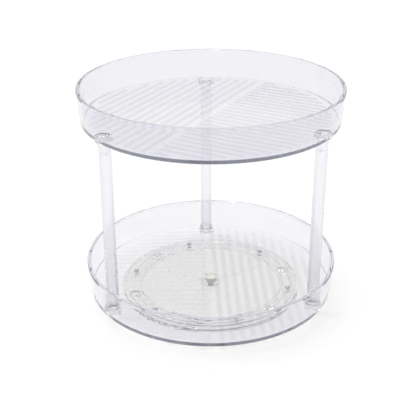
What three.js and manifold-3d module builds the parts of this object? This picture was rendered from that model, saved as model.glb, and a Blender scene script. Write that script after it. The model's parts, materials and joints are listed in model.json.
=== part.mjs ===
// A two-tier lazy susan turntable: two clear round trays on three posts, turning on a ball race.
// Millimetres, +Z up. The origin is on the table, under the middle of the base.
import * as THREE from "three";
import { mergeVertices } from "three/addons/utils/BufferGeometryUtils.js";
import Module from "manifold-3d";

const wasm = await Module();
wasm.setup();

// Gaps
const clearance = 0.3; // between pieces that touch or run on each other
const cageClearance = 1.4; // beside the ball cage, inside and outside
const cageRun = 1.1; // above and below the ball cage
const baseToBossGap = 12.5; // between the base's skirt and the post bosses
const overlap = 1; // how far a solid that joins or cuts another runs past its face

// Trays
const trayRadius = 115; // outside of the rim band
const trayHeight = 29.4;
const trayTaper = 2; // how far the wall leans in from the rim band to the foot
const trayWall = 2.2;
const trayFloor = 2.5;
const trayCorner = 1.6; // radius outside the foot, and inside the wall
const rimBandHeight = 3;
const rimBandDepth = 0.6;
const tierSpacing = 163.8; // from one tray's underside to the other's

// Ribs on the tray floors: one half runs along the dividing line, the other across it
const alongPitch = 8.8;
const acrossPitch = 8.25;
const ribHeight = 0.5; // less than the overlap of the cuts that pass through the ribs
const ribShare = 0.5; // rib width as a share of the pitch
const ribMargin = 3.6; // from the ribs' ends to the wall
const dividerWidth = 5.5; // smooth strip between the halves
const lowerDivider = 272.5; // direction of the dividing line, degrees; the ribs on its left run along it
const upperDivider = 62.5;

// Posts and the plugs that hold them
const postCount = 3;
const postPhase = 92.5; // direction of the first post, degrees
const postRadius = 5.2;
const postBore = 4;
const postInset = 12; // from the rim's outside to the post's centre
const bossWall = 2;
const bossDepth = 3.5; // below a tray's underside
const collarWall = 1;
const collarHeight = 3; // above the lower tray's floor
const postSink = 2; // how deep a post's foot sits in the lower tray's floor
const upperShelf = 1.4; // what is left of the upper tray's floor over a post
const plugHead = 1;
const plugLength = 14;
const plugWeb = 1.4;

// Ball race
const ballCount = 6;
const ballPhase = 47.5;
const ballDiameter = 4.8;
const raceDepth = 0.6; // depth of the groove in the base, and in the lower tray
const cageWidth = 11.4;
const ballHoleClearance = 0.5;

// Base
const basePlateThickness = 2.2;
const skirtWidth = 2;
const skirtHeight = 2.4;
const raceWallWidth = 1.6;
const raceWallHeight = 1.8;
const hubRadius = 9;
const baseRibCount = 3;
const baseRibPhase = 32.5;
const baseRibWidth = 1.8;
const baseRibHeight = 1.6;
const footCount = 6;
const footPhase = 17.5;
const footRadius = 5;
const footHeight = 1; // below the base plate
const footSeat = 0.7; // depth of the pocket in the base plate
const footInset = 9; // from the base's rim to a foot's centre

// Pivot
const pinRadius = 3;
const pinHeadRadius = 5;
const pinHead = 1.2;
const washerRadius = 6;
const washerThickness = 0.8;

// Smoothness
const segments = 60; // round the trays and the base
const smallSegments = 24; // round posts, bosses, holes and feet
const ballSegments = 14;
const raceSteps = 10; // straight steps in the section that cuts the races
const arcSteps = 1; // half the straight steps in each rounded corner

// What follows from the sizes above
const bearingGap = ballDiameter + 2 * clearance - 2 * raceDepth;
const cageThickness = bearingGap - 2 * cageRun;
const baseTop = footHeight + basePlateThickness;
const lowerTrayBottom = baseTop + bearingGap;
const upperTrayBottom = lowerTrayBottom + tierSpacing;
const ballCentre = baseTop + bearingGap / 2;
const raceRadius = ballDiameter / 2 + clearance;
const postCircle = trayRadius - postInset;
const socketRadius = postRadius + clearance;
const bossRadius = socketRadius + bossWall;
const baseRadius = postCircle - bossRadius - baseToBossGap;
const cageOuter = baseRadius - skirtWidth - cageClearance;
const ballCircle = cageOuter - cageWidth / 2;
const raceWallOuter = cageOuter - cageWidth - cageClearance;
const plugRadius = postBore - clearance;
const wallInset = rimBandDepth + trayTaper + trayWall; // from the rim's outside to the floor's edge
const ribCircle = trayRadius - wallInset - ribMargin;
const washerPocket = washerThickness + 2 * clearance;

// Materials
const plastic = (color, roughness, opacity) =>
  new THREE.MeshStandardMaterial({ color, roughness, metalness: 0, opacity, transparent: opacity < 1 });
const clearPlastic = plastic(0xeeedf3, 0.08, 0.35);
const frostedPlastic = plastic(0xe4e5e8, 0.3, 0.5);
const nylon = plastic(0xd2d3cf, 0.45, 0.9);
const silicone = plastic(0xe2e2e4, 0.6, 0.6);
const steel = new THREE.MeshStandardMaterial({ color: 0xc8cacc, roughness: 0.15, metalness: 1 });

// A closed geometry as a solid that can be cut and joined.
function solid(geometry) {
  const bare = new THREE.BufferGeometry();
  bare.setAttribute("position", geometry.toNonIndexed().getAttribute("position"));
  const merged = mergeVertices(bare, 1e-4);
  const index = merged.index.array;
  const kept = [];
  for (let i = 0; i < index.length; i += 3) {
    const [a, b, c] = index.subarray(i, i + 3);
    if (a !== b && b !== c && c !== a) kept.push(a, b, c); // leaves out the slivers on an axis
  }
  const vertProperties = new Float32Array(merged.getAttribute("position").array);
  return new wasm.Manifold(new wasm.Mesh({ numProp: 3, vertProperties, triVerts: new Uint32Array(kept) }));
}

// An outline of radius and height turned round the Z axis.
function turned(outline, steps = segments) {
  return solid(new THREE.LatheGeometry(outline.getPoints(arcSteps), steps).rotateX(Math.PI / 2));
}

// An upright cylinder from one height to another.
function upright(radius, bottom, top, x = 0, y = 0, steps = smallSegments) {
  const geometry = new THREE.CylinderGeometry(radius, radius, top - bottom, steps).rotateX(Math.PI / 2);
  return solid(geometry.translate(x, y, (bottom + top) / 2));
}

// A box between two corners, turned about the Z axis.
function block(low, high, turn = 0) {
  const size = new THREE.Vector3().subVectors(high, low);
  const middle = new THREE.Vector3().addVectors(low, high).multiplyScalar(0.5);
  const geometry = new THREE.BoxGeometry(size.x, size.y, size.z);
  return solid(geometry.translate(middle.x, middle.y, middle.z).rotateZ(turn));
}

// Angles in radians, evenly round the circle from a first one in degrees.
function around(count, phase) {
  return Array.from({ length: count }, (_, i) => THREE.MathUtils.degToRad(phase + (i * 360) / count));
}

const joined = (first, ...others) => others.reduce((sum, next) => sum.add(next), first);
const cut = (first, ...others) => others.reduce((rest, next) => rest.subtract(next), first);

const group = new THREE.Group();

function addNode(name, body, material) {
  const mesh = body.getMesh();
  const geometry = new THREE.BufferGeometry();
  geometry.setAttribute("position", new THREE.BufferAttribute(mesh.vertProperties, mesh.numProp));
  geometry.setIndex(new THREE.BufferAttribute(mesh.triVerts, 1));
  const node = new THREE.Mesh(geometry.toNonIndexed(), material);
  node.geometry.computeVertexNormals();
  node.name = name;
  group.add(node);
}

// The tray's dish: a floor on the axis, a leaning wall and a band round the rim.
function trayDish(bottom) {
  const top = bottom + trayHeight;
  const floor = bottom + trayFloor;
  const bandFoot = top - rimBandHeight;
  const wallTop = trayRadius - rimBandDepth;
  const foot = wallTop - trayTaper;
  const rimInner = wallTop - trayWall;
  const rimArc = (trayRadius - rimInner) / 2;
  const outline = new THREE.Path();
  outline.moveTo(0, bottom);
  outline.lineTo(foot - trayCorner, bottom);
  outline.absarc(foot - trayCorner, bottom + trayCorner, trayCorner, -Math.PI / 2, 0);
  outline.lineTo(wallTop, bandFoot);
  outline.lineTo(trayRadius, bandFoot);
  outline.absarc(trayRadius - rimArc, top - rimArc, rimArc, 0, Math.PI);
  outline.lineTo(foot - trayWall, floor + trayCorner);
  outline.absarc(foot - trayWall - trayCorner, floor + trayCorner, trayCorner, 0, -Math.PI / 2, true);
  outline.lineTo(0, floor);
  return turned(outline);
}

// Raised bars on a floor, ending on the rib circle, seen along a dividing line that runs along +Y.
function floorRibs(floor, divider) {
  const turn = THREE.MathUtils.degToRad(divider - 90);
  const bars = [];
  const bar = (x0, y0, x1, y1) => {
    const low = new THREE.Vector3(x0, y0, floor - overlap);
    bars.push(block(low, new THREE.Vector3(x1, y1, floor + ribHeight), turn));
  };
  const reach = (offset) => Math.sqrt(ribCircle ** 2 - offset ** 2);
  const alongWidth = alongPitch * ribShare;
  for (let x = dividerWidth / 2 + alongWidth; x < ribCircle; x += alongPitch) {
    const end = reach(x);
    bar(-x, -end, alongWidth - x, end);
  }
  const acrossWidth = acrossPitch * ribShare;
  for (let y = acrossWidth / 2; y + acrossWidth < ribCircle; y += acrossPitch) {
    const end = reach(y + acrossWidth);
    bar(dividerWidth / 2, y, end, y + acrossWidth);
    bar(dividerWidth / 2, -y - acrossWidth, end, -y);
  }
  return bars;
}

// The places of the posts.
const posts = around(postCount, postPhase).map((angle) => ({
  x: postCircle * Math.cos(angle),
  y: postCircle * Math.sin(angle),
  angle,
}));

// A ring of round section at the balls' height: it cuts the races.
function raceRing() {
  const outline = new THREE.Path();
  outline.absarc(ballCircle, ballCentre, raceRadius, 0, 2 * Math.PI);
  const ring = new THREE.LatheGeometry(outline.getPoints(raceSteps / 2), segments);
  return solid(ring.rotateX(Math.PI / 2));
}

// Heights of the shelf that each post end meets.
const lowerShelfTop = lowerTrayBottom + trayFloor - postSink;
const lowerShelfBottom = lowerTrayBottom - bossDepth + plugHead + 2 * clearance;
const upperShelfBottom = upperTrayBottom + trayFloor - plugHead - clearance - upperShelf;
const upperShelfTop = upperShelfBottom + upperShelf;

function lowerTray() {
  const floor = lowerTrayBottom + trayFloor;
  let tray = joined(trayDish(lowerTrayBottom), ...floorRibs(floor, lowerDivider));
  for (const { x, y } of posts) {
    const bossBottom = lowerTrayBottom - bossDepth;
    const boss = upright(bossRadius, bossBottom, floor - overlap, x, y);
    const collar = upright(socketRadius + collarWall, floor - overlap, floor + collarHeight, x, y);
    const socket = upright(socketRadius, lowerShelfTop, floor + collarHeight + overlap, x, y);
    const plugHole = upright(postBore, bossBottom, lowerShelfTop + overlap, x, y);
    const headPocket = upright(socketRadius, bossBottom - overlap, lowerShelfBottom, x, y);
    tray = cut(joined(tray, boss, collar), socket, plugHole, headPocket);
  }
  const headSeat = upright(pinHeadRadius + clearance, floor - pinHead - clearance, floor + overlap);
  const pinHole = upright(pinRadius + clearance, lowerTrayBottom - overlap, floor);
  return cut(tray, headSeat, pinHole, raceRing());
}

function upperTray() {
  const floor = upperTrayBottom + trayFloor;
  let tray = joined(trayDish(upperTrayBottom), ...floorRibs(floor, upperDivider));
  for (const { x, y } of posts) {
    const bossBottom = upperTrayBottom - bossDepth;
    const boss = upright(bossRadius, bossBottom, floor - overlap, x, y);
    const socket = upright(socketRadius, bossBottom - overlap, upperShelfBottom, x, y);
    const plugHole = upright(postBore, upperShelfBottom - overlap, upperShelfTop + overlap, x, y);
    const headPocket = upright(socketRadius, upperShelfTop, floor + overlap, x, y);
    tray = cut(joined(tray, boss), socket, plugHole, headPocket);
  }
  return tray;
}

function postTube({ x, y }) {
  const bottom = lowerShelfTop + clearance;
  const top = upperShelfBottom - clearance;
  return cut(upright(postRadius, bottom, top, x, y), upright(postBore, bottom - overlap, top + overlap, x, y));
}

// A round head and a shank of cross section: the head is at one height, the shank's end at another.
function plug({ x, y, angle }, headBottom, shankEnd) {
  const head = upright(postRadius, headBottom, headBottom + plugHead, x, y);
  const middle = headBottom + plugHead / 2;
  const low = Math.min(middle, shankEnd);
  const high = Math.max(middle, shankEnd);
  const long = Math.sqrt(plugRadius ** 2 - (plugWeb / 2) ** 2);
  const web = (halfX, halfY) => {
    const bar = block(new THREE.Vector3(-halfX, -halfY, low), new THREE.Vector3(halfX, halfY, high), angle);
    return bar.translate([x, y, 0]);
  };
  return joined(head, web(long, plugWeb / 2), web(plugWeb / 2, long));
}

function basePlate() {
  const bottom = footHeight;
  const outline = new THREE.Path();
  outline.moveTo(0, bottom);
  outline.lineTo(baseRadius, bottom);
  outline.lineTo(baseRadius, baseTop + skirtHeight);
  outline.lineTo(baseRadius - skirtWidth, baseTop + skirtHeight);
  outline.lineTo(baseRadius - skirtWidth, baseTop);
  outline.lineTo(raceWallOuter, baseTop);
  outline.lineTo(raceWallOuter, baseTop + raceWallHeight);
  outline.lineTo(raceWallOuter - raceWallWidth, baseTop + raceWallHeight);
  outline.lineTo(raceWallOuter - raceWallWidth, baseTop);
  outline.lineTo(hubRadius, baseTop);
  outline.lineTo(hubRadius, lowerTrayBottom - clearance);
  outline.lineTo(0, lowerTrayBottom - clearance);
  const ribs = around(baseRibCount, baseRibPhase).map((angle) => {
    const low = new THREE.Vector3(hubRadius - overlap, -baseRibWidth / 2, baseTop - overlap);
    const reach = raceWallOuter - raceWallWidth / 2;
    const high = new THREE.Vector3(reach, baseRibWidth / 2, baseTop + baseRibHeight);
    return block(low, high, angle);
  });
  const pockets = around(footCount, footPhase).map((angle) => {
    const circle = baseRadius - footInset;
    const [x, y] = [circle * Math.cos(angle), circle * Math.sin(angle)];
    return upright(footRadius + clearance, bottom - overlap, bottom + footSeat, x, y);
  });
  const pinHole = upright(pinRadius + clearance, bottom - overlap, lowerTrayBottom);
  const washerSeat = upright(washerRadius + clearance, bottom - overlap, bottom + washerPocket);
  return cut(joined(turned(outline), ...ribs), ...pockets, pinHole, washerSeat, raceRing());
}

function foot(angle) {
  const circle = baseRadius - footInset;
  const [x, y] = [circle * Math.cos(angle), circle * Math.sin(angle)];
  return upright(footRadius, 0, footHeight + footSeat - clearance, x, y);
}

const balls = around(ballCount, ballPhase).map((angle) => ({
  x: ballCircle * Math.cos(angle),
  y: ballCircle * Math.sin(angle),
}));

function ballCage() {
  const bottom = ballCentre - cageThickness / 2;
  const top = ballCentre + cageThickness / 2;
  const ring = cut(
    upright(cageOuter, bottom, top, 0, 0, segments),
    upright(cageOuter - cageWidth, bottom - overlap, top + overlap, 0, 0, segments),
  );
  const hole = ballDiameter / 2 + ballHoleClearance;
  return cut(ring, ...balls.map(({ x, y }) => upright(hole, bottom - overlap, top + overlap, x, y)));
}

function steelBall({ x, y }) {
  const geometry = new THREE.SphereGeometry(ballDiameter / 2, ballSegments, ballSegments / 2);
  return solid(geometry.translate(x, y, ballCentre));
}

// The pin's head is level with the lower tray's floor, and its shank ends inside the washer.
function pivotPin() {
  const floor = lowerTrayBottom + trayFloor;
  const shank = upright(pinRadius, footHeight + clearance, floor - pinHead / 2);
  return joined(upright(pinHeadRadius, floor - pinHead, floor), shank);
}

function pivotWasher() {
  const bottom = footHeight + clearance;
  const disc = upright(washerRadius, bottom, bottom + washerThickness);
  return cut(disc, upright(pinRadius + clearance, bottom - overlap, bottom + washerThickness + overlap));
}

addNode("base_plate", basePlate(), clearPlastic);
around(footCount, footPhase).forEach((angle, i) => addNode(`foot_${i + 1}`, foot(angle), silicone));
addNode("ball_cage", ballCage(), frostedPlastic);
balls.forEach((place, i) => addNode(`steel_ball_${i + 1}`, steelBall(place), steel));
addNode("lower_tray", lowerTray(), clearPlastic);
addNode("pivot_pin", pivotPin(), nylon);
addNode("pivot_washer", pivotWasher(), nylon);
const lowerHead = lowerTrayBottom - bossDepth + clearance;
const upperHead = upperShelfTop + clearance;
posts.forEach((place, i) => {
  addNode(`post_tube_${i + 1}`, postTube(place), clearPlastic);
  const lowerPlug = plug(place, lowerHead, lowerShelfTop + plugLength);
  const upperPlug = plug(place, upperHead, upperShelfBottom - plugLength);
  addNode(`lower_post_plug_${i + 1}`, lowerPlug, frostedPlastic);
  addNode(`upper_post_plug_${i + 1}`, upperPlug, frostedPlastic);
});
addNode("upper_tray", upperTray(), clearPlastic);

export default group;
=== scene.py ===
import json
import math
import bmesh
import bpy
from mathutils import Matrix, Vector


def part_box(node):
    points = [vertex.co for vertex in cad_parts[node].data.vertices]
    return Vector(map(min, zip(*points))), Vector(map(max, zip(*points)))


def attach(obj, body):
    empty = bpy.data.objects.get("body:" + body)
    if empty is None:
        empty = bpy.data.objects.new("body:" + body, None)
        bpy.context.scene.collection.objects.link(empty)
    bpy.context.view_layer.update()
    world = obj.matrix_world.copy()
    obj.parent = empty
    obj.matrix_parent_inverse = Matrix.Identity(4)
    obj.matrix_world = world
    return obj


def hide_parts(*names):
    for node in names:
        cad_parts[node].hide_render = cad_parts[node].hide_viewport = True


# Two-tier lazy susan turntable in clear plastic.
# Lengths in the dictionaries are in millimetres, angles in degrees; Blender works in metres.
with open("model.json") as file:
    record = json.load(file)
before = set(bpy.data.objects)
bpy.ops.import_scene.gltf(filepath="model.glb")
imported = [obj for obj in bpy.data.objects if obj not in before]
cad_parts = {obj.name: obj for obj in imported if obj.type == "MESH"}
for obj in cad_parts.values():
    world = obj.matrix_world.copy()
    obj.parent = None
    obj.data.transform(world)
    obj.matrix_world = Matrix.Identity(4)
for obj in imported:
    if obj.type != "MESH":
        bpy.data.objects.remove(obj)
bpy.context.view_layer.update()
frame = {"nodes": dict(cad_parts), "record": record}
mm = 0.001
bodyOf = {node: body for body, nodes in frame["record"]["behaviour"]["bodies"].items() for node in nodes}
print("frame loaded,", len(frame["nodes"]), "nodes")


camera = {"distance": 760.0, "elevation": 25.36, "lens": 71.7, "aimHeight": 82.0, "side": -2.6}


def placeCamera():
    lensBody = bpy.data.cameras.new("camera")
    lensBody.lens = camera["lens"]
    viewer = bpy.data.objects.new("camera", lensBody)
    bpy.context.scene.collection.objects.link(viewer)
    tilt = math.radians(camera["elevation"])
    away = Vector((0, -math.cos(tilt), math.sin(tilt)))
    aim = Vector((camera["side"], 0, camera["aimHeight"])) * mm
    viewer.location = aim + away * camera["distance"] * mm
    viewer.rotation_euler = (-away).to_track_quat("-Z", "Y").to_euler()
    bpy.context.scene.camera = viewer


placeCamera()
print("camera placed")


roundSteps = 384    # sides of a large turned piece
smallSteps = 64     # sides of posts, bosses and holes
past = 1.0          # how far a shape that cuts or joins runs past the surface
gap = 0.3           # room between pieces that fit together


# (radius, height) points along an arc, from one angle to another
def arc(radius, height, bend, start, end, steps=6):
    turn = [math.radians(start + (end - start) * i / steps) for i in range(steps + 1)]
    return [(radius + bend * math.cos(a), height + bend * math.sin(a)) for a in turn]


def meshObject(name, bm):
    bmesh.ops.recalc_face_normals(bm, faces=bm.faces)
    data = bpy.data.meshes.new(name)
    bm.to_mesh(data)
    bm.free()
    piece = bpy.data.objects.new(name, data)
    bpy.context.scene.collection.objects.link(piece)
    return piece


# joins rings of points into a bar with closed ends
def skin(bm, rings):
    for low, high in zip(rings, rings[1:]):
        for i in range(len(low)):
            j = (i + 1) % len(low)
            bm.faces.new((low[i], low[j], high[j], high[i]))
    bm.faces.new(rings[0])
    bm.faces.new(rings[-1])


# an outline of (radius, height) turned round an upright axis; it ends on the axis or closes on itself
def turnedInto(bm, outline, steps, at=(0.0, 0.0)):
    angles = [2 * math.pi * i / steps for i in range(steps)]
    rings = []
    for radius, height in outline:
        ring = []
        for a in angles if radius > 0 else angles[:1]:
            x = at[0] + radius * math.cos(a)
            y = at[1] + radius * math.sin(a)
            ring.append(bm.verts.new((x * mm, y * mm, height * mm)))
        rings.append(ring)
    pairs = list(zip(rings, rings[1:]))
    if outline[0][0] > 0:
        pairs.append((rings[-1], rings[0]))
    for low, high in pairs:
        for i in range(steps):
            j = (i + 1) % steps
            corners = [low[i % len(low)], low[j % len(low)], high[j % len(high)], high[i % len(high)]]
            bm.faces.new(list(dict.fromkeys(corners)))


def turned(name, outline, steps=roundSteps, at=(0.0, 0.0)):
    bm = bmesh.new()
    turnedInto(bm, outline, steps, at)
    return meshObject(name, bm)


# several turned outlines in one object, one at each place
def turnedAt(name, outline, places, steps=smallSteps):
    bm = bmesh.new()
    for place in places:
        turnedInto(bm, outline, steps, place)
    return meshObject(name, bm)


def freeze(piece):
    bpy.context.view_layer.update()
    graph = bpy.context.evaluated_depsgraph_get()
    shaped = bpy.data.meshes.new_from_object(piece.evaluated_get(graph))
    piece.modifiers.clear()
    old = piece.data
    piece.data = shaped
    bpy.data.meshes.remove(old)


def combine(piece, tool, operation):
    change = piece.modifiers.new("combine", "BOOLEAN")
    change.operation = operation
    change.solver = "EXACT"
    change.object = tool
    freeze(piece)
    bpy.data.objects.remove(tool)


shading = {"crease": 14.0, "mergeWithin": 0.002, "flatWeight": 80}


# rounds the shading, keeps creases sharper than the angle, and lets broad flats stay flat
def polish(piece):
    bm = bmesh.new()
    bm.from_mesh(piece.data)
    bmesh.ops.remove_doubles(bm, verts=bm.verts, dist=shading["mergeWithin"] * mm)
    for face in bm.faces:
        face.smooth = True
    crease = math.radians(shading["crease"])
    for edge in bm.edges:
        edge.smooth = len(edge.link_faces) == 2 and edge.calc_face_angle(0) < crease
    bm.to_mesh(piece.data)
    bm.free()
    shade = piece.modifiers.new("shade", "WEIGHTED_NORMAL")
    shade.keep_sharp = True
    shade.weight = shading["flatWeight"]
    freeze(piece)


# a finished piece stands for its CAD node, rides on that node's body and takes its material
def fit(piece, node, material):
    piece.data.materials.clear()
    piece.data.materials.append(material)
    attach(piece, bodyOf[node])
    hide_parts(node)


# marks the faces near the post axes, where the bosses and collars are frosted
def frostBosses(dish):
    marks = dish.data.attributes.new("frost", "FLOAT", "FACE")
    reach = tray["bossRadius"] + tray["frostMargin"]
    for face, mark in zip(dish.data.polygons, marks.data):
        corners = [(dish.data.vertices[i].co / mm).to_2d() for i in face.vertices]
        mark.value = float(any(all((corner - post).length < reach for corner in corners) for post in posts))


def middle(node):
    low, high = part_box(node)
    return (low + high) / 2 / mm


def heights(node):
    low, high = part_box(node)
    return low.z / mm, high.z / mm


# a short way to add and join shader nodes
class Nodes:
    def __init__(self, name):
        self.material = bpy.data.materials.new(name)
        self.material.use_nodes = True
        self.tree = self.material.node_tree
        self.tree.nodes.clear()
        self.out = self.add("ShaderNodeOutputMaterial")

    def add(self, kind, **settings):
        node = self.tree.nodes.new(kind)
        for key, value in settings.items():
            setattr(node, key, value)
        return node

    def join(self, source, target):
        self.tree.links.new(source, target)

    # noise in object space: scale in blotches per metre
    def noise(self, scale, detail=3.0, stretch=(1, 1, 1)):
        place = self.add("ShaderNodeTexCoord")
        mapping = self.add("ShaderNodeMapping")
        mapping.inputs["Scale"].default_value = stretch
        texture = self.add("ShaderNodeTexNoise")
        texture.inputs["Scale"].default_value = scale
        texture.inputs["Detail"].default_value = detail
        self.join(place.outputs["Object"], mapping.inputs["Vector"])
        self.join(mapping.outputs["Vector"], texture.inputs["Vector"])
        return texture.outputs["Fac"]

    def spread(self, value, low, high, fromLow=0.3, fromHigh=0.7):
        ramp = self.add("ShaderNodeMapRange")
        ramp.inputs["From Min"].default_value = fromLow
        ramp.inputs["From Max"].default_value = fromHigh
        ramp.inputs["To Min"].default_value = low
        ramp.inputs["To Max"].default_value = high
        self.join(value, ramp.inputs["Value"])
        return ramp.outputs["Result"]

    # a colour that runs from dark to light while the value goes from low to high
    def shades(self, value, low, dark, high, light):
        ramp = self.add("ShaderNodeValToRGB")
        for stop, position, colour in zip(ramp.color_ramp.elements, (low, high), (dark, light)):
            stop.position = position
            stop.color = (*colour, 1)
        self.join(value, ramp.inputs["Fac"])
        return ramp.outputs["Color"]

    # a colour mixed towards another; each is a plain colour or a socket
    def blend(self, share, first, second, kind="MIX"):
        mix = self.add("ShaderNodeMix", data_type="RGBA", blend_type=kind)
        self.join(share, mix.inputs[0])
        for colour, socket in ((first, mix.inputs[6]), (second, mix.inputs[7])):
            if isinstance(colour, bpy.types.NodeSocket):
                self.join(colour, socket)
            else:
                socket.default_value = (*colour, 1)
        return mix.outputs[2]

    def blendValue(self, share, first, second):
        mix = self.add("ShaderNodeMix")
        self.join(share, mix.inputs[0])
        self.join(first, mix.inputs[2])
        mix.inputs[3].default_value = second
        return mix.outputs[0]

    def bump(self, value, depth, strength=0.3):
        bump = self.add("ShaderNodeBump")
        bump.inputs["Strength"].default_value = strength
        bump.inputs["Distance"].default_value = depth
        self.join(value, bump.inputs["Height"])
        return bump.outputs["Normal"]


# clear moulded plastic: it bends and tints light, and lamps shine through it;
# a tray's plastic is given its floor's height, for the ribs with their painted shade, and for the frosted
# bosses
def clearPlastic(name, look, floor=None):
    n = Nodes(name)
    shader = n.add("ShaderNodeBsdfPrincipled")
    blotches = n.noise(look["blotchScale"])
    deeper = [c * look["tintFall"] for c in look["tint"]]
    colour = n.shades(blotches, 0.35, deeper, 0.65, look["tint"])
    gloss = n.spread(blotches, look["gloss"][0], look["gloss"][1])
    through = n.add("ShaderNodeBsdfTransparent")    # what the lamps see
    through.inputs["Color"].default_value = (*look["lampTint"], 1)
    if floor is not None:
        raised = ribShare(n, floor)
        frost = n.add("ShaderNodeAttribute", attribute_name="frost").outputs["Fac"]
        # painted shade: the raised ribs are darkened to stand for the dark lines that refraction draws
        # along them
        colour = n.blend(raised, colour, [look["ribPaintedShade"]] * 3, "MULTIPLY")
        colour = n.blend(frost, colour, look["frostTint"])
        gloss = n.blendValue(frost, gloss, look["frostGloss"])
        shade = n.blend(raised, look["lampTint"], [ribs["lampTint"]] * 3, "MULTIPLY")
        n.join(shade, through.inputs["Color"])
    n.join(colour, shader.inputs["Base Color"])
    n.join(gloss, shader.inputs["Roughness"])
    shader.inputs["Transmission Weight"].default_value = look["clear"]
    shader.inputs["IOR"].default_value = look["ior"]
    flow = n.noise(look["flowScale"], 2.0, look["flowStretch"])
    n.join(n.bump(flow, look["flowDepth"] * mm, 1.0), shader.inputs["Normal"])
    openSide = n.add("ShaderNodeBsdfTransparent")    # what the table sees
    openSide.inputs["Color"].default_value = (*look["tableTint"], 1)
    path = n.add("ShaderNodeLightPath")
    onTable = n.add("ShaderNodeMixShader")
    n.join(path.outputs["Is Diffuse Ray"], onTable.inputs["Fac"])
    n.join(shader.outputs[0], onTable.inputs[1])
    n.join(openSide.outputs[0], onTable.inputs[2])
    mix = n.add("ShaderNodeMixShader")
    n.join(path.outputs["Is Shadow Ray"], mix.inputs["Fac"])
    n.join(onTable.outputs[0], mix.inputs[1])
    n.join(through.outputs[0], mix.inputs[2])
    n.join(mix.outputs[0], n.out.inputs["Surface"])
    if look["depthDensity"] > 0:
        depth = n.add("ShaderNodeVolumeAbsorption")
        depth.inputs["Color"].default_value = (*look["depthTint"], 1)
        depth.inputs["Density"].default_value = look["depthDensity"]
        n.join(depth.outputs[0], n.out.inputs["Volume"])
    return n.material


# 1 on the floor's raised ribs, by their height above the floor, and 0 elsewhere; it places the ribs'
# painted shade and their lamp tint
def ribShare(n, floor):
    place = n.add("ShaderNodeTexCoord")
    parts = n.add("ShaderNodeSeparateXYZ")
    n.join(place.outputs["Object"], parts.inputs[0])
    rise = ribs["height"] * mm
    level = floor * mm
    start, full = (level + share * rise for share in ribs["ribShadeRise"])
    raised = n.spread(parts.outputs["Z"], 0, 1, start, full)
    spot = n.add("ShaderNodeCombineXYZ")
    n.join(parts.outputs["X"], spot.inputs["X"])
    n.join(parts.outputs["Y"], spot.inputs["Y"])
    reach = n.add("ShaderNodeVectorMath", operation="LENGTH")
    n.join(spot.outputs[0], reach.inputs[0])
    inside = n.add("ShaderNodeMath", operation="LESS_THAN")
    inside.inputs[1].default_value = ribs["ribShadeCircle"] * mm
    n.join(reach.outputs["Value"], inside.inputs[0])
    share = n.add("ShaderNodeMath", operation="MULTIPLY")
    n.join(raised, share.inputs[0])
    n.join(inside.outputs[0], share.inputs[1])
    return share.outputs[0]


ribs = {
    "alongPitch": 8.8,
    "acrossPitch": 8.25,
    "share": 0.5,            # of the pitch, measured halfway up the flanks
    "spread": 1.35,          # foot of a rib against that width
    "flank": 1.8,
    "height": 0.1,
    "ribShadeRise": (0.3, 0.75),    # shares of the height where the rib's painted shade and lamp tint start and are full
    "lampTint": 0.76,
    "circle": 106.6,         # the ribs end on it
    # the ribs' painted shade and lamp tint end on this circle
    "ribShadeCircle": 107.1,
    "divider": 5.5,          # smooth strip between the two halves
    "endLength": 2.0,
    "endTaper": ((0, 0.06), (0.25, 0.25), (0.6, 0.75), (1, 1)),
    "lap": 0.01,
    "sink": 0.3,
    "steps": 5,
}
clearLook = {
    "tint": (0.9, 0.893, 0.932),
    "tintFall": 0.985,
    "clear": 1.0,
    "ior": 1.45,
    "gloss": (0.01, 0.03),
    "blotchScale": 60.0,
    "flowScale": 9.0,
    "flowStretch": (1.0, 1.0, 2.0),
    "flowDepth": 0.1,
    "lampTint": (0.95, 0.95, 0.95),
    "tableTint": (1.0, 1.0, 0.994),
    "frostTint": (0.98, 0.975, 0.99),
    "frostGloss": 0.5,
    "depthTint": (0.75, 0.76, 0.79),
    "depthDensity": 22.0,
}
frostedTube = clearPlastic(
    "frosted tube plastic",
    {
        **clearLook,
        "gloss": (0.26, 0.34),
        "ior": 1.2,
        "flowStretch": (1.0, 1.0, 0.15),
        "flowDepth": 0.02,
        "tint": (0.968, 0.961, 0.98),
        "depthDensity": 0.0,
    },
)
clearBase = clearPlastic(
    "clear base plastic",
    {**clearLook, "tint": (0.975, 0.975, 0.95), "gloss": (0.02, 0.05), "lampTint": (1, 1, 1)},
)
satinInsert = clearPlastic(
    "clear satin plastic",
    {
        **clearLook,
        "gloss": (0.05, 0.12),
        "tint": (1.0, 1.0, 1.0),
        "ior": 1.12,
        "depthDensity": 0.0,
        "lampTint": (1, 1, 1),
    },
)


# a solid material: its tone, gloss and grain each follow a noise of (scale, detail, stretch)
def solid(name, look):
    n = Nodes(name)
    shader = n.add("ShaderNodeBsdfPrincipled")
    tone = n.shades(n.noise(*look["toneNoise"]), *look["tone"])
    n.join(tone, shader.inputs["Base Color"])
    n.join(n.spread(n.noise(*look["glossNoise"]), *look["gloss"]), shader.inputs["Roughness"])
    n.join(n.bump(n.noise(*look["grainNoise"]), look["grainDepth"] * mm), shader.inputs["Normal"])
    for socket, value in look["body"].items():
        shader.inputs[socket].default_value = value
    n.join(shader.outputs[0], n.out.inputs["Surface"])
    return n.material


# slightly waxy
nylon = solid(
    "milky nylon",
    {
        "toneNoise": (260.0, 4.0),
        "tone": (0.3, (0.66, 0.665, 0.61), 0.75, (0.77, 0.775, 0.73)),
        "glossNoise": (700.0,),
        "gloss": (0.38, 0.55),
        "grainNoise": (1500.0, 5.0),
        "grainDepth": 0.02,
        "body": {
            "Subsurface Weight": 0.3,
            "Subsurface Radius": (1.0, 0.9, 0.8),
            "Subsurface Scale": 0.001,
        },
    },
)
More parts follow.
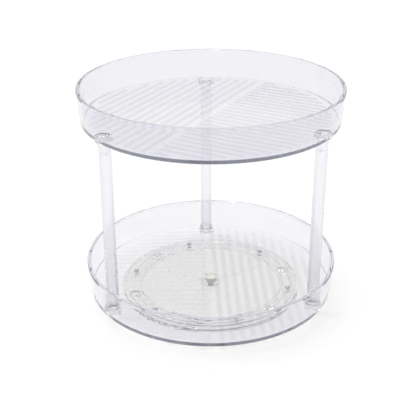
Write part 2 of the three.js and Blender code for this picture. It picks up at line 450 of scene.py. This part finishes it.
# lets some light through
rubber = solid(
    "soft foot rubber",
    {
        "toneNoise": (400.0, 4.0),
        "tone": (0.35, (0.9, 0.9, 0.9), 0.8, (0.96, 0.96, 0.96)),
        "glossNoise": (900.0,),
        "gloss": (0.5, 0.7),
        "grainNoise": (2500.0, 4.0),
        "grainDepth": 0.02,
        "body": {"Transmission Weight": 0.6},
    },
)
# fine rolling marks
rollMarks = (900.0, 4.0, (1, 1, 6))
steel = solid(
    "polished steel",
    {
        "toneNoise": rollMarks,
        "tone": (0.3, (0.36, 0.37, 0.39), 0.7, (0.52, 0.53, 0.55)),
        "glossNoise": rollMarks,
        "gloss": (0.12, 0.3),
        "grainNoise": rollMarks,
        "grainDepth": 0.01,
        "body": {"Metallic": 1.0},
    },
)
print("materials made")


tray = {
    "height": 29.4,
    "taper": 2.0,
    "wall": 2.2,
    "floor": 2.5,
    "footBend": 0.6,
    "innerBend": 0.8,
    "rimBend": 0.35,
    "bandHeight": 3.0,
    "bandDepth": 0.5,
    "bandBend": 0.15,
    "bossRadius": 7.5,
    "collarRadius": 6.5,
    "collarHeight": 3.0,
    "socketRadius": 5.5,
    "socketLead": 0.3,
    "mouthEdge": 0.2,
    "plugHole": 4.0,
    "softEdge": 0.4,
    "frostMargin": 0.2,
}
upperTray = {
    "divider": 62.5,    # which way the smooth strip points
    # the rib darkening in this look is painted shade for the refraction lines along the ribs
    "look": {"lampTint": (0.978, 0.978, 0.978), "ribPaintedShade": 0.78},
}
lowerTray = {
    "divider": 272.5,
    # painted light: this tray's plastic is tinted lighter than the upper tray's, to lift the shade the
    # upper tray casts on it; its ribs carry a fainter painted shade
    "look": {"lampTint": (1.0, 1.0, 0.995), "ribPaintedShade": 0.93, "tint": (0.94, 0.935, 0.965)},
}
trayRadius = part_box("upper_tray")[1].x / mm
posts = [middle(f"post_tube_{i + 1}").to_2d() for i in range(3)]


# the dish: floor, leaning wall and a band round the rim, with every edge rounded
def dishOutline(top):
    bottom = top - tray["height"]
    floor = bottom + tray["floor"]
    wallTop = trayRadius - tray["bandDepth"]
    foot = wallTop - tray["taper"]
    rimIn = wallTop - tray["wall"]
    lean = math.degrees(math.atan(tray["taper"] / (tray["height"] - tray["bandHeight"])))
    bandFoot = top - tray["bandHeight"]
    outer, inner, rim, small = tray["footBend"], tray["innerBend"], tray["rimBend"], tray["bandBend"]
    outline = [(0, bottom)]
    outline += arc(foot - outer, bottom + outer, outer, -90, -lean)
    outline += arc(wallTop + small, bandFoot - small, small, 180 - lean, 90, 3)
    outline += arc(trayRadius - small, bandFoot + small, small, -90, 0, 3)
    outline += arc(trayRadius - rim, top - rim, rim, 0, 90, 4)
    outline += arc(rimIn + rim, top - rim, rim, 90, 180 - lean, 4)
    outline += arc(foot - tray["wall"] - inner, floor + inner, inner, -lean, -90)
    outline += [(0, floor)]
    return outline


# one raised bar, flat on top with soft sides and tapered ends; place(across, along, height) gives a point
def addBar(bm, place, side, width, start, end):
    reach = width * ribs["spread"] / 2
    shares = [i / ribs["steps"] for i in range(ribs["steps"] + 1)]
    flank = [(reach - ribs["flank"] * t, t * t * (3 - 2 * t)) for t in shares]    # a soft wave
    profile = [(-across, lift) for across, lift in flank] + flank[::-1]
    stations = [(start + ribs["endLength"] * share, full) for share, full in ribs["endTaper"]]
    stations += [(start + end - along, full) for along, full in reversed(stations)]
    rings = []
    for along, full in stations:
        ring = []
        for across, lift in profile:
            rise = ribs["height"] * full * lift
            ring.append(bm.verts.new(place(side + across, along, rise - ribs["lap"])))
        ring.append(bm.verts.new(place(side + reach, along, -ribs["sink"])))
        ring.append(bm.verts.new(place(side - reach, along, -ribs["sink"])))
        rings.append(ring)
    skin(bm, rings)


# both halves of the floor pattern: bars along the dividing line on its left, across it on its right
def floorBars(floor, divider):
    bm = bmesh.new()
    turn = Matrix.Rotation(math.radians(divider - 90), 3, "Z")

    def alongPlace(across, along, height):
        return turn @ Vector((across, along, floor + height)) * mm

    def acrossPlace(across, along, height):
        return turn @ Vector((along, across, floor + height)) * mm

    width = ribs["alongPitch"] * ribs["share"]
    side = ribs["divider"] / 2 + width / 2
    while side + width / 2 < ribs["circle"]:
        reach = math.sqrt(ribs["circle"] ** 2 - (side + width / 2) ** 2)
        if reach > 2 * ribs["endLength"]:
            addBar(bm, alongPlace, -side, width, -reach, reach)
        side += ribs["alongPitch"]
    width = ribs["acrossPitch"] * ribs["share"]
    side = width
    while side + width / 2 < ribs["circle"]:
        reach = math.sqrt(ribs["circle"] ** 2 - (side + width / 2) ** 2)
        if reach > ribs["divider"] / 2 + 2 * ribs["endLength"]:
            addBar(bm, acrossPlace, side, width, ribs["divider"] / 2, reach)
            addBar(bm, acrossPlace, -side, width, ribs["divider"] / 2, reach)
        side += ribs["acrossPitch"]
    return meshObject("bars", bm)


# the rounded outer edge of a boss's underside or a collar's top
def softEdge(radius, height, upward):
    bend = tray["softEdge"]
    if upward:
        return arc(radius - bend, height - bend, bend, 0, 90, 3)
    return arc(radius - bend, height + bend, bend, -90, 0, 3)


# the holes for a tube from one side and a plug's head from the other, with a shelf between them
def cutSockets(dish, low, shelfLow, shelfTop, top):
    socket, hole = tray["socketRadius"], tray["plugHole"]
    lead, edge = tray["socketLead"], tray["mouthEdge"]
    cut = [(0, low - past), (socket + lead + past, low - past), (socket, low + lead)]
    cut += [(socket, shelfLow), (hole, shelfLow), (hole, shelfTop), (socket, shelfTop)]
    cut += [(socket, top - edge), (socket + edge + past, top + past), (0, top + past)]
    combine(dish, turnedAt("sockets", cut, posts), "DIFFERENCE")


def makeUpperTray():
    bossBottom, top = heights("upper_tray")
    bottom = top - tray["height"]
    floor = bottom + tray["floor"]
    shelfLow = heights("post_tube_1")[1] + gap
    shelfTop = heights("upper_post_plug_1")[1] - plug["head"] - gap
    dish = turned("upper-tray", dishOutline(top))
    combine(dish, floorBars(floor, upperTray["divider"]), "UNION")
    boss = [(0, bossBottom)] + softEdge(tray["bossRadius"], bossBottom, False)
    boss += [(tray["bossRadius"], floor - past), (0, floor - past)]
    combine(dish, turnedAt("bosses", boss, posts), "UNION")
    cutSockets(dish, bossBottom, shelfLow, shelfTop, floor)
    polish(dish)
    frostBosses(dish)
    look = {**clearLook, **upperTray["look"]}
    fit(dish, "upper_tray", clearPlastic("clear upper tray plastic", look, floor))


def makeLowerTray():
    bossBottom, top = heights("lower_tray")
    bottom = top - tray["height"]
    floor = bottom + tray["floor"]
    shelfTop = heights("post_tube_1")[0] - gap
    shelfLow = heights("lower_post_plug_1")[0] + plug["head"] + gap
    collarTop = floor + tray["collarHeight"]
    dish = turned("lower-tray", dishOutline(top))
    combine(dish, floorBars(floor, lowerTray["divider"]), "UNION")
    boss = [(0, bossBottom)] + softEdge(tray["bossRadius"], bossBottom, False)
    boss += [(tray["bossRadius"], floor - past), (tray["collarRadius"], floor - past)]
    boss += softEdge(tray["collarRadius"], collarTop, True) + [(0, collarTop)]
    combine(dish, turnedAt("bosses", boss, posts), "UNION")
    cutSockets(dish, bossBottom, shelfLow, shelfTop, collarTop)
    pinHole = pivot["hole"]
    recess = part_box("pivot_pin")[1].x / mm + pivot["headGap"]
    recessFloor = floor - pivot["recess"]
    centre = [(0, bottom - past), (pinHole, bottom - past), (pinHole, recessFloor), (recess, recessFloor)]
    centre += [(recess, floor + past), (0, floor + past)]
    combine(dish, turned("pivot hole", centre, smallSteps), "DIFFERENCE")
    combine(dish, raceCut(bottom, -1), "DIFFERENCE")
    polish(dish)
    frostBosses(dish)
    look = {**clearLook, **lowerTray["look"]}
    fit(dish, "lower_tray", clearPlastic("clear lower tray plastic", look, floor))


base = {
    "plate": 2.2,
    "skirt": 2.0,
    "skirtHeight": 2.4,
    "raceWall": 66.8,
    "raceWallWidth": 1.6,
    "raceWallHeight": 1.8,
    "hub": 9.0,
    "ribWidth": 5.0,
    "ribHeight": 0.3,
    "ribPhase": 32.5,
    "ribFall": 6.0,         # a rib falls over this length
    "ribEndHeight": 0.3,    # to this share of its height
    "ribLap": 0.5,
    "footPocket": 0.7,
    "washerPocket": 1.4,
    "raceDepth": 0.42,
    "raceWidth": 3.4,
    "raceSlope": 0.1,
    "raceOpen": 0.3,
    "bend": 0.2,
}
ballCentre = middle("steel_ball_1")
ballRadius = (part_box("steel_ball_1")[1].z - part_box("steel_ball_1")[0].z) / 2 / mm
ballCircle = ballCentre.to_2d().length


# a shallow flat channel that the balls run in: facing is 1 in a top surface and -1 in an underside
def raceCut(surface, facing):
    inner = ballCircle - base["raceWidth"] / 2
    outer = ballCircle + base["raceWidth"] / 2
    slope = base["raceSlope"]
    bottom = surface - facing * base["raceDepth"]
    outside = surface + facing * base["raceOpen"]
    outline = [(inner, outside), (inner, surface), (inner + slope, bottom)]
    outline += [(outer - slope, bottom), (outer, surface), (outer, outside)]
    return turned("race", outline)


def makeBase():
    low, top = heights("base_plate")
    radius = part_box("base_plate")[1].x / mm
    plateTop = low + base["plate"]
    bend = base["bend"]
    skirtTop = plateTop + base["skirtHeight"]
    skirtIn = radius - base["skirt"]
    wallOut = base["raceWall"]
    wallIn = wallOut - base["raceWallWidth"]
    wallTop = plateTop + base["raceWallHeight"]
    outline = [(0, low)] + arc(radius - bend, low + bend, bend, -90, 0, 4)
    outline += arc(radius - bend, skirtTop - bend, bend, 0, 90, 4)
    outline += arc(skirtIn + bend, skirtTop - bend, bend, 90, 180, 4)
    outline += arc(skirtIn - bend, plateTop + bend, bend, 0, -90, 4)
    outline += arc(wallOut + bend, plateTop + bend, bend, -90, -180, 4)
    outline += arc(wallOut - bend, wallTop - bend, bend, 0, 90, 4)
    outline += arc(wallIn + bend, wallTop - bend, bend, 90, 180, 4)
    outline += arc(wallIn - bend, plateTop + bend, bend, 0, -90, 4)
    outline += arc(base["hub"] + bend, plateTop + bend, bend, -90, -180, 4)
    outline += arc(base["hub"] - bend, top - bend, bend, 0, 90, 4) + [(0, top)]
    plate = turned("base-plate", outline)
    for i in range(3):
        combine(plate, baseRib(plateTop, math.radians(base["ribPhase"] + 120 * i), wallIn), "UNION")
    feet = [middle(f"foot_{i + 1}").to_2d() for i in range(6)]
    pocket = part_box("foot_1")[1].x / mm - feet[0].x + gap
    pocketTop = low + base["footPocket"]
    pocketCut = [(0, low - past), (pocket, low - past), (pocket, pocketTop), (0, pocketTop)]
    combine(plate, turnedAt("pockets", pocketCut, feet), "DIFFERENCE")
    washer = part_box("pivot_washer")[1].x / mm + gap
    washerTop = low + base["washerPocket"]
    pinHole = pivot["hole"]
    hole = [(0, low - past), (washer, low - past), (washer, washerTop), (pinHole, washerTop)]
    hole += [(pinHole, top + past), (0, top + past)]
    combine(plate, turned("pin hole", hole, smallSteps), "DIFFERENCE")
    combine(plate, raceCut(plateTop, 1), "DIFFERENCE")
    polish(plate)
    fit(plate, "base_plate", clearBase)


# a low stiffening rib from the hub to the inner race wall
def baseRib(plateTop, angle, reach):
    bm = bmesh.new()
    turn = Matrix.Rotation(angle, 3, "Z")
    half = base["ribWidth"] / 2
    steps = 12
    turns = [-1 + 2 * i / steps for i in range(steps + 1)]
    stations = [(base["hub"] - past, 1.0), (reach - base["ribFall"], 1.0)]
    stations.append((reach + base["ribLap"], base["ribEndHeight"]))
    rings = []
    for along, full in stations:
        height = base["ribHeight"] * full
        section = [(u * half, height * (1 + math.cos(math.pi * u)) / 2 - ribs["lap"]) for u in turns]
        section += [(half, -ribs["sink"]), (-half, -ribs["sink"])]
        ring = [turn @ Vector((along, across, plateTop + rise)) * mm for across, rise in section]
        rings.append([bm.verts.new(corner) for corner in ring])
    skin(bm, rings)
    return meshObject("rib", bm)


foot = {"hollow": 0.15, "lip": 1.6, "bend": 0.4, "topBend": 0.2}


def makeFeet():
    bend, topBend = foot["bend"], foot["topBend"]
    for i in range(6):
        node = f"foot_{i + 1}"
        low, high = heights(node)
        at = middle(node).to_2d()
        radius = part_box(node)[1].x / mm - at.x
        outline = [(0, low + foot["hollow"]), (radius - foot["lip"], low + foot["hollow"])]
        outline += arc(radius - bend, low + bend, bend, -90, 0, 4)
        outline += arc(radius - topBend, high - topBend, topBend, 0, 90, 3) + [(0, high)]
        pad = turned(f"foot-{i + 1}", outline, smallSteps, at)
        polish(pad)
        fit(pad, node, rubber)


cage = {"bend": 0.35, "ballGap": 0.5, "holeEdge": 0.2}


def makeCage():
    low, high = heights("ball_cage")
    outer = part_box("ball_cage")[1].x / mm
    inner = 2 * ballCircle - outer
    bend = cage["bend"]
    outline = arc(outer - bend, low + bend, bend, -90, 0, 3)
    outline += arc(outer - bend, high - bend, bend, 0, 90, 3)
    outline += arc(inner + bend, high - bend, bend, 90, 180, 3)
    outline += arc(inner + bend, low + bend, bend, 180, 270, 3)
    ring = turned("ball-cage", outline)
    balls = [middle(f"steel_ball_{i + 1}").to_2d() for i in range(6)]
    hole = ballRadius + cage["ballGap"]
    edge = cage["holeEdge"]
    mouth = hole + edge + past
    cut = [(0, low - past), (mouth, low - past), (hole, low + edge), (hole, high - edge)]
    cut += [(mouth, high + past), (0, high + past)]
    combine(ring, turnedAt("ball holes", cut, balls), "DIFFERENCE")
    polish(ring)
    fit(ring, "ball_cage", satinInsert)


def makeBalls():
    for i in range(6):
        node = f"steel_ball_{i + 1}"
        bm = bmesh.new()
        bmesh.ops.create_uvsphere(bm, u_segments=40, v_segments=24, radius=ballRadius * mm)
        bmesh.ops.translate(bm, verts=bm.verts, vec=middle(node) * mm)
        ball = meshObject(f"steel-ball-{i + 1}", bm)
        polish(ball)
        fit(ball, node, steel)


pivot = {
    "shank": 3.0,
    "hole": 3.3,
    "tip": 0.4,
    "headThickness": 1.2,
    "headUnderBend": 0.25,
    "headBend": 0.45,
    "headGap": 0.15,
    "recess": 1.5,
    "dimple": 1.0,
    "dimpleDepth": 0.25,
    "dimpleSlope": 0.3,
    "washerEdge": 0.2,
    "washerBoreEdge": 0.1,
}


def makePivot():
    low, high = heights("pivot_pin")
    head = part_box("pivot_pin")[1].x / mm
    shank, tip = pivot["shank"], pivot["tip"]
    headLow = high - pivot["headThickness"]
    under, bend = pivot["headUnderBend"], pivot["headBend"]
    dimple, depth = pivot["dimple"], pivot["dimpleDepth"]
    outline = [(0, low), (shank - tip, low), (shank, low + tip), (shank, headLow)]
    outline += arc(head - under, headLow + under, under, -90, 0, 3)
    outline += arc(head - bend, high - bend, bend, 0, 90, 4)
    outline += [(dimple + pivot["dimpleSlope"], high), (dimple, high - depth), (0, high - depth)]
    pin = turned("pivot-pin", outline, smallSteps)
    polish(pin)
    fit(pin, "pivot_pin", nylon)
    low, high = heights("pivot_washer")
    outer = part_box("pivot_washer")[1].x / mm
    inner, edge, boreEdge = pivot["hole"], pivot["washerEdge"], pivot["washerBoreEdge"]
    ring = [(inner, low + boreEdge), (inner + boreEdge, low), (outer - edge, low), (outer, low + edge)]
    ring += [(outer, high - edge), (outer - edge, high), (inner + boreEdge, high), (inner, high - boreEdge)]
    washer = turned("pivot-washer", ring, smallSteps)
    polish(washer)
    fit(washer, "pivot_washer", nylon)


tube = {"bore": 4.0, "chamfer": 0.25}
plug = {
    "head": 1.0,
    "headBend": 0.25,
    "webThickness": 1.4,
    "webSpan": 7.4,
    "webBend": 0.2,
    "webLap": 0.5,    # how deep the webs start in the head
}


def makePosts():
    for i in range(3):
        node = f"post_tube_{i + 1}"
        low, high = heights(node)
        at = posts[i]
        radius = (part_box(node)[1].x / mm) - at.x
        bore, edge = tube["bore"], tube["chamfer"]
        outline = [(bore + edge, low), (radius - edge, low), (radius, low + edge), (radius, high - edge)]
        outline += [(radius - edge, high), (bore + edge, high), (bore, high - edge), (bore, low + edge)]
        pipe = turned(f"post-tube-{i + 1}", outline, smallSteps, at)
        polish(pipe)
        fit(pipe, node, frostedTube)
        makePlug(f"lower_post_plug_{i + 1}", at, True)
        makePlug(f"upper_post_plug_{i + 1}", at, False)


# a plug has a round head outside the tray and a cross-shaped shank inside the tube
def makePlug(node, at, headLow):
    low, high = heights(node)
    radius = (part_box(node)[1].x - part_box(node)[0].x) / 2 / mm
    start = low if headLow else high - plug["head"]
    bend = plug["headBend"]
    outline = [(0, start)] + arc(radius - bend, start + bend, bend, -90, 0, 3)
    outline += arc(radius - bend, start + plug["head"] - bend, bend, 0, 90, 3) + [(0, start + plug["head"])]
    head = turned(node.replace("_", "-"), outline, smallSteps, at)
    if headLow:
        shankLow, shankHigh = low + plug["webLap"], high
    else:
        shankLow, shankHigh = low, high - plug["webLap"]
    angle = math.atan2(at.y, at.x)
    span, thickness, length = plug["webSpan"], plug["webThickness"], shankHigh - shankLow
    size = Matrix.Diagonal((span * mm, thickness * mm, length * mm, 1))
    bend = plug["webBend"] * mm
    for quarter in range(2):
        bm = bmesh.new()
        bmesh.ops.create_cube(bm, size=1)
        bmesh.ops.transform(bm, matrix=size, verts=bm.verts)
        bmesh.ops.bevel(bm, geom=bm.edges[:], offset=bend, segments=2, affect="EDGES", profile=0.5)
        place = Matrix.Translation(Vector((at.x, at.y, (shankLow + shankHigh) / 2)) * mm)
        spin = Matrix.Rotation(angle + quarter * math.pi / 2, 4, "Z")
        bmesh.ops.transform(bm, matrix=place @ spin, verts=bm.verts)
        combine(head, meshObject("web", bm), "UNION")
    polish(head)
    fit(head, node, satinInsert)


makeUpperTray()
makeLowerTray()
print("trays made")
makeBase()
makeFeet()
makeCage()
makeBalls()
makePivot()
print("base, race and pivot made")
makePosts()
print("posts made")


studio = {
    "floorSize": 30.0,
    "floorTone": 0.9,
    "skyTop": 1.02,
    "skyMiddle": 0.95,
    "skyMiddleHeight": 0.35,
    "skyTopHeight": 0.9,
    "skyHorizon": 0.85,
    "horizonTint": (0.96, 0.98, 1.03),
    "skyOnMatt": 0.6,    # how strongly the sky lights matt surfaces
    "keyPower": 1.15,
    "keySpread": 2.6,
    "keyFrom": (-0.17, 0.04, 1.0),
    "fillPower": 0.6,
    "fillSpread": 3.0,
    "fillFrom": (-0.03, 0.19, 1.0),
}


def makeFloor():
    bm = bmesh.new()
    bmesh.ops.create_grid(bm, x_segments=1, y_segments=1, size=studio["floorSize"] / 2)
    floor = meshObject("floor", bm)
    n = Nodes("pale floor")
    shader = n.add("ShaderNodeBsdfPrincipled")
    tone = studio["floorTone"]
    colour = n.shades(n.noise(3.0), 0, [tone * 0.995] * 3, 1, [tone] * 3)
    n.join(colour, shader.inputs["Base Color"])
    shader.inputs["Roughness"].default_value = 0.8
    shader.inputs["Specular IOR Level"].default_value = 0.1
    n.join(shader.outputs[0], n.out.inputs["Surface"])
    floor.data.materials.append(n.material)


# the sky is pale at the horizon and white overhead
def makeSky():
    world = bpy.data.worlds.new("studio")
    world.use_nodes = True
    bpy.context.scene.world = world
    tree = world.node_tree
    tree.nodes.clear()
    place = tree.nodes.new("ShaderNodeTexCoord")
    parts = tree.nodes.new("ShaderNodeSeparateXYZ")
    ramp = tree.nodes.new("ShaderNodeValToRGB")
    back = tree.nodes.new("ShaderNodeBackground")
    out = tree.nodes.new("ShaderNodeOutputWorld")
    stops = ramp.color_ramp.elements
    stops[0].position = 0.0
    stops[0].color = (*[studio["skyHorizon"] * c for c in studio["horizonTint"]], 1)
    stops[1].position = studio["skyTopHeight"]
    stops[1].color = (*[studio["skyTop"]] * 3, 1)
    between = stops.new(studio["skyMiddleHeight"])
    between.color = (*[studio["skyMiddle"]] * 3, 1)
    tree.links.new(place.outputs["Generated"], parts.inputs[0])
    tree.links.new(parts.outputs["Z"], ramp.inputs["Fac"])
    tree.links.new(ramp.outputs["Color"], back.inputs["Color"])
    path = tree.nodes.new("ShaderNodeLightPath")
    strength = tree.nodes.new("ShaderNodeMapRange")
    strength.inputs["To Min"].default_value = 1
    strength.inputs["To Max"].default_value = studio["skyOnMatt"]
    tree.links.new(path.outputs["Is Diffuse Ray"], strength.inputs["Value"])
    tree.links.new(strength.outputs["Result"], back.inputs["Strength"])
    tree.links.new(back.outputs[0], out.inputs["Surface"])
    world.cycles.sampling_method = "NONE"


def makeSun(name, power, spread, direction):
    lamp = bpy.data.lights.new(name, "SUN")
    lamp.energy = power
    lamp.angle = math.radians(spread)
    sun = bpy.data.objects.new(name, lamp)
    bpy.context.scene.collection.objects.link(sun)
    sun.rotation_euler = Vector(direction).to_track_quat("Z", "Y").to_euler()
    sun.visible_transmission = False


makeFloor()
makeSky()
makeSun("key", studio["keyPower"], studio["keySpread"], studio["keyFrom"])
makeSun("fill", studio["fillPower"], studio["fillSpread"], studio["fillFrom"])

scene = bpy.context.scene
scene.view_settings.view_transform = "Standard"
scene.cycles.max_bounces = 64
scene.cycles.glossy_bounces = 64    # light runs a long way inside the walls
scene.cycles.transmission_bounces = 64
scene.cycles.transparent_max_bounces = 32
print("studio ready")
